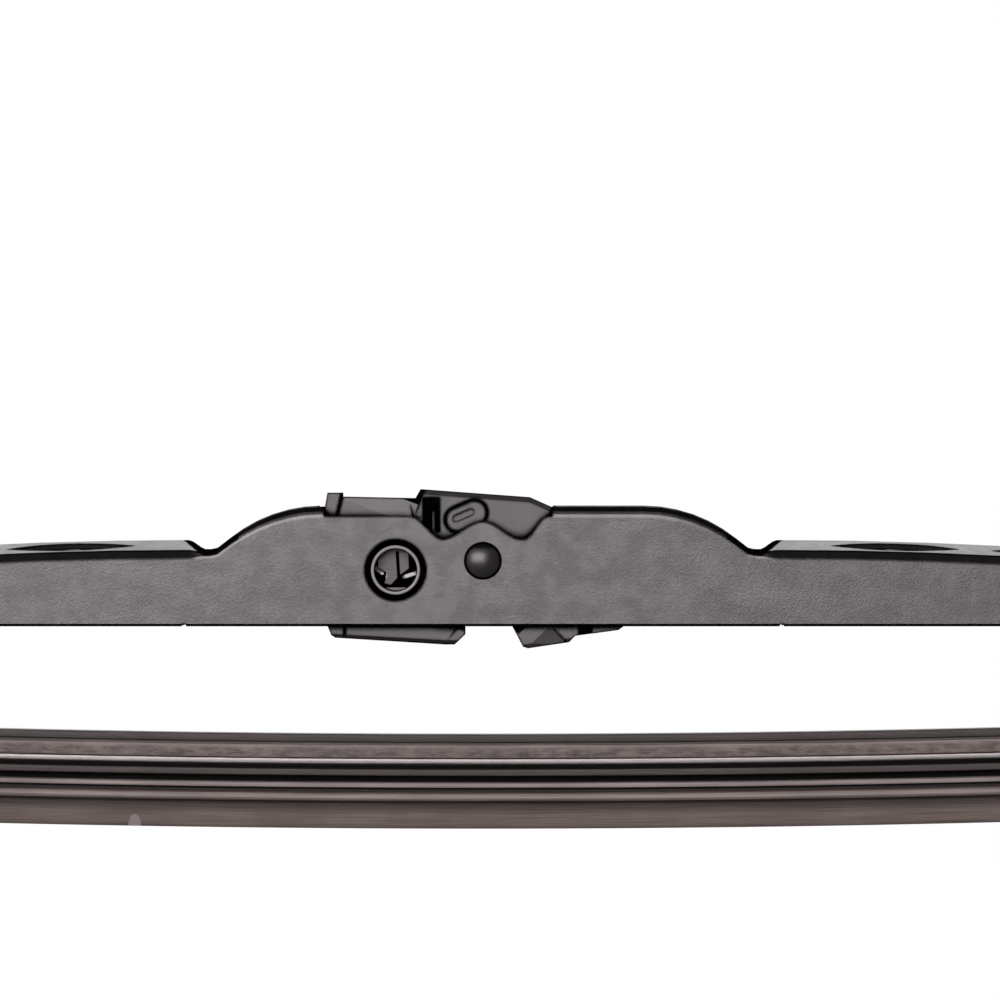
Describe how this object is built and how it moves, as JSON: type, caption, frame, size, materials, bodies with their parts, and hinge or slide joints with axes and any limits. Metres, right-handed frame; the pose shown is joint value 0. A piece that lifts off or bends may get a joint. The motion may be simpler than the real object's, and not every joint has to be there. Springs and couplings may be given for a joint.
{
  "type": "wiper blade",
  "caption": "Frame wiper blade: pressed steel bridge with slotted shoulders, plastic arm connector, rocking yokes with lined claws, and a ribbed rubber strip on spring rails.",
  "frame": {"origin": "centre of the middle rivet's axis, about which the blade rocks on the arm's connector", "axes": "+X along the blade, +Y across it, +Z away from the glass, with the rubber lip pointing down -Z"},
  "size_m": [0.53, 0.0168, 0.053],
  "materials": {
    "black_paint": "satin black powder coat",
    "connector_plastic": "satin moulded",
    "bearing_plastic": "matte moulded",
    "spring_steel": "rolled stainless",
    "rubber": "graphite-dusted rubber"
  },
  "bodies": {
    "connector": {"connector_body": "connector_plastic", "side_pin_clip": "spring_steel"},
    "latch": {"connector_latch": "connector_plastic"},
    "bridge": {"main_bridge": "black_paint", "centre_rivet": "black_paint", "left_yoke_rivet": "black_paint", "right_yoke_rivet": "black_paint", "rubber_element": "rubber", "front_rail": "spring_steel", "rear_rail": "spring_steel"},
    "left_yoke": {"left_yoke": "black_paint", "left_yoke_bearing": "bearing_plastic", "left_inner_liner": "bearing_plastic", "left_outer_liner": "bearing_plastic", "left_end_clip": "spring_steel"},
    "right_yoke": {"right_yoke": "black_paint", "right_yoke_bearing": "bearing_plastic", "right_inner_liner": "bearing_plastic", "right_outer_liner": "bearing_plastic", "right_end_clip": "spring_steel"}
  },
  "joints": [
    {"name": "blade_pivot", "type": "hinge", "parent": "connector", "child": "bridge", "pos_m": [0, 0, 0], "axis": [0, 1, 0], "range_deg": [-8, 8]},
    {"name": "latch_hinge", "type": "hinge", "parent": "connector", "child": "latch", "pos_m": [-0.0203, 0, -0.0084], "axis": [0, 1, 0], "range_deg": [0, 12], "stiffness_Nm_per_rad": 0.1, "springref_deg": -5.73},
    {"name": "left_yoke_pivot", "type": "hinge", "parent": "bridge", "child": "left_yoke", "pos_m": [-0.167, 0, -0.0127], "axis": [0, 1, 0], "range_deg": [-6, 6], "stiffness_Nm_per_rad": 1.5, "deforming": ["rubber_element", "front_rail", "rear_rail"]},
    {"name": "right_yoke_pivot", "type": "hinge", "parent": "bridge", "child": "right_yoke", "pos_m": [0.167, 0, -0.0127], "axis": [0, 1, 0], "range_deg": [-6, 6], "stiffness_Nm_per_rad": 1.5, "deforming": ["rubber_element", "front_rail", "rear_rail"]}
  ]
}
